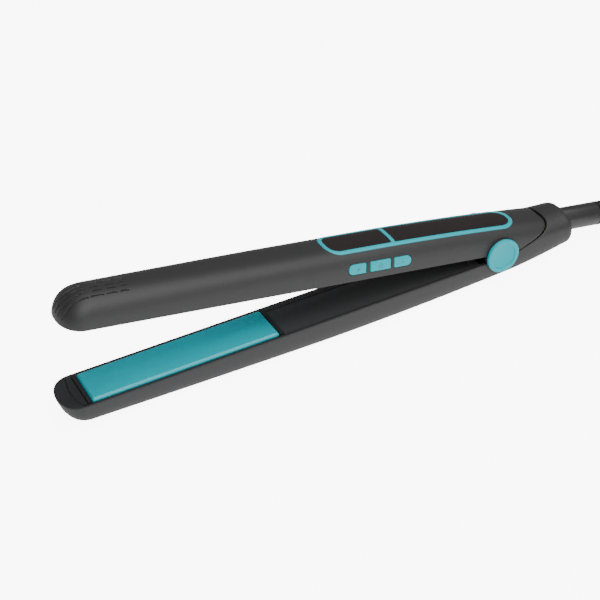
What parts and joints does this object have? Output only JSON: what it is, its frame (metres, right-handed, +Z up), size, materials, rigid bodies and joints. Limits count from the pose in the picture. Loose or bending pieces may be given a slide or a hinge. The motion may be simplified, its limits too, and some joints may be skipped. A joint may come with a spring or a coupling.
{
  "type": "hair straightener",
  "caption": "Flat iron: two hinged slim arms with floating coated heater plates, side buttons, round hinge caps and a mains cord on a swivel.",
  "frame": {"origin": "on the table, under the middle of the body, midway between the nose tip and the end of the swivel neck", "axes": "+X along the lower arm from the nose to the cord, +Y across the arms away from the buttons, +Z up"},
  "size_m": [0.5253, 0.0628, 0.0758],
  "materials": {
    "shell_grey": "soft matte",
    "inner_grey": "satin",
    "carrier_black": "satin",
    "screw_steel": "plain",
    "pad_rubber": "silicone",
    "plate_teal": "smooth ceramic coating",
    "heater_metal": "plain",
    "lead_red": "sleeved wire",
    "cyan_gloss": "gloss",
    "nylon": "natural",
    "contact_brass": "plain",
    "neck_grey": "satin",
    "panel_gloss": "gloss",
    "board_green": "solder mask",
    "cord_black": "matte",
    "plug_black": "satin",
    "pin_nickel": "nickel plated"
  },
  "bodies": {
    "lower_arm": {"lower_shell": "shell_grey", "lower_inner_cover": "inner_grey", "lower_plate_carrier": "carrier_black", "lower_carrier_screws": "screw_steel", "lower_plate_pads": "pad_rubber", "lower_nose_insert": "shell_grey", "lower_heater_leads": "lead_red", "thermal_fuse": "heater_metal", "hinge_pin": "screw_steel", "hinge_spring": "screw_steel", "hinge_cap_near": "cyan_gloss", "hinge_cap_far": "cyan_gloss", "swivel_cradle": "nylon", "swivel_cover": "nylon", "swivel_screws": "screw_steel", "contact_brushes": "contact_brass", "cord_lead": "cord_black", "cord_hank": "cord_black", "cord_end": "cord_black", "cord_tie": "cord_black", "plug_body": "plug_black", "plug_pins": "pin_nickel"},
    "lower_plate_unit": {"lower_plate": "plate_teal", "lower_heater": "heater_metal"},
    "cord_swivel": {"swivel_stem": "neck_grey", "swivel_rings": "contact_brass", "cord_guard": "cord_black"},
    "upper_arm": {"upper_shell": "shell_grey", "upper_inner_cover": "inner_grey", "upper_plate_carrier": "carrier_black", "upper_carrier_screws": "screw_steel", "upper_plate_pads": "pad_rubber", "upper_nose_insert": "shell_grey", "upper_heater_leads": "lead_red", "trim_ring": "cyan_gloss", "display_window": "panel_gloss", "rear_panel": "panel_gloss", "control_board": "board_green", "tact_switches": "nylon", "display_module": "panel_gloss"},
    "upper_plate_unit": {"upper_plate": "plate_teal", "upper_heater": "heater_metal"},
    "plus_button": {"plus_button": "cyan_gloss"},
    "power_button": {"power_button": "cyan_gloss"},
    "minus_button": {"minus_button": "cyan_gloss"}
  },
  "joints": [
    {"name": "arm_hinge", "type": "hinge", "parent": "lower_arm", "child": "upper_arm", "pos_m": [0.09156, 0, 0.01985], "axis": [0, -1, 0], "range_deg": [0, 9.8], "stiffness_Nm_per_rad": 0.6, "springref_deg": -40.11, "deforming": ["hinge_spring"]},
    {"name": "lower_plate_float", "type": "slide", "parent": "lower_arm", "child": "lower_plate_unit", "axis": [0, 0, -1], "range_m": [0, 0.0008], "stiffness_N_per_m": 4000, "springref_m": -0.001, "deforming": ["lower_plate_pads"]},
    {"name": "upper_plate_float", "type": "slide", "parent": "upper_arm", "child": "upper_plate_unit", "axis": [0.1702, 0, 0.9854], "range_m": [0, 0.0008], "stiffness_N_per_m": 4000, "springref_m": -0.001, "deforming": ["upper_plate_pads"]},
    {"name": "plus_press", "type": "slide", "parent": "upper_arm", "child": "plus_button", "axis": [0, 1, 0], "range_m": [0, 0.0007], "stiffness_N_per_m": 500, "springref_m": -0.001},
    {"name": "power_press", "type": "slide", "parent": "upper_arm", "child": "power_button", "axis": [0, 1, 0], "range_m": [0, 0.0007], "stiffness_N_per_m": 500, "springref_m": -0.001},
    {"name": "minus_press", "type": "slide", "parent": "upper_arm", "child": "minus_button", "axis": [0, 1, 0], "range_m": [0, 0.0007], "stiffness_N_per_m": 500, "springref_m": -0.001},
    {"name": "cord_swivel_spin", "type": "hinge", "parent": "lower_arm", "child": "cord_swivel", "pos_m": [0.13296, 0, 0.01925], "axis": [0.9863, 0, -0.165], "continuous": true}
  ]
}
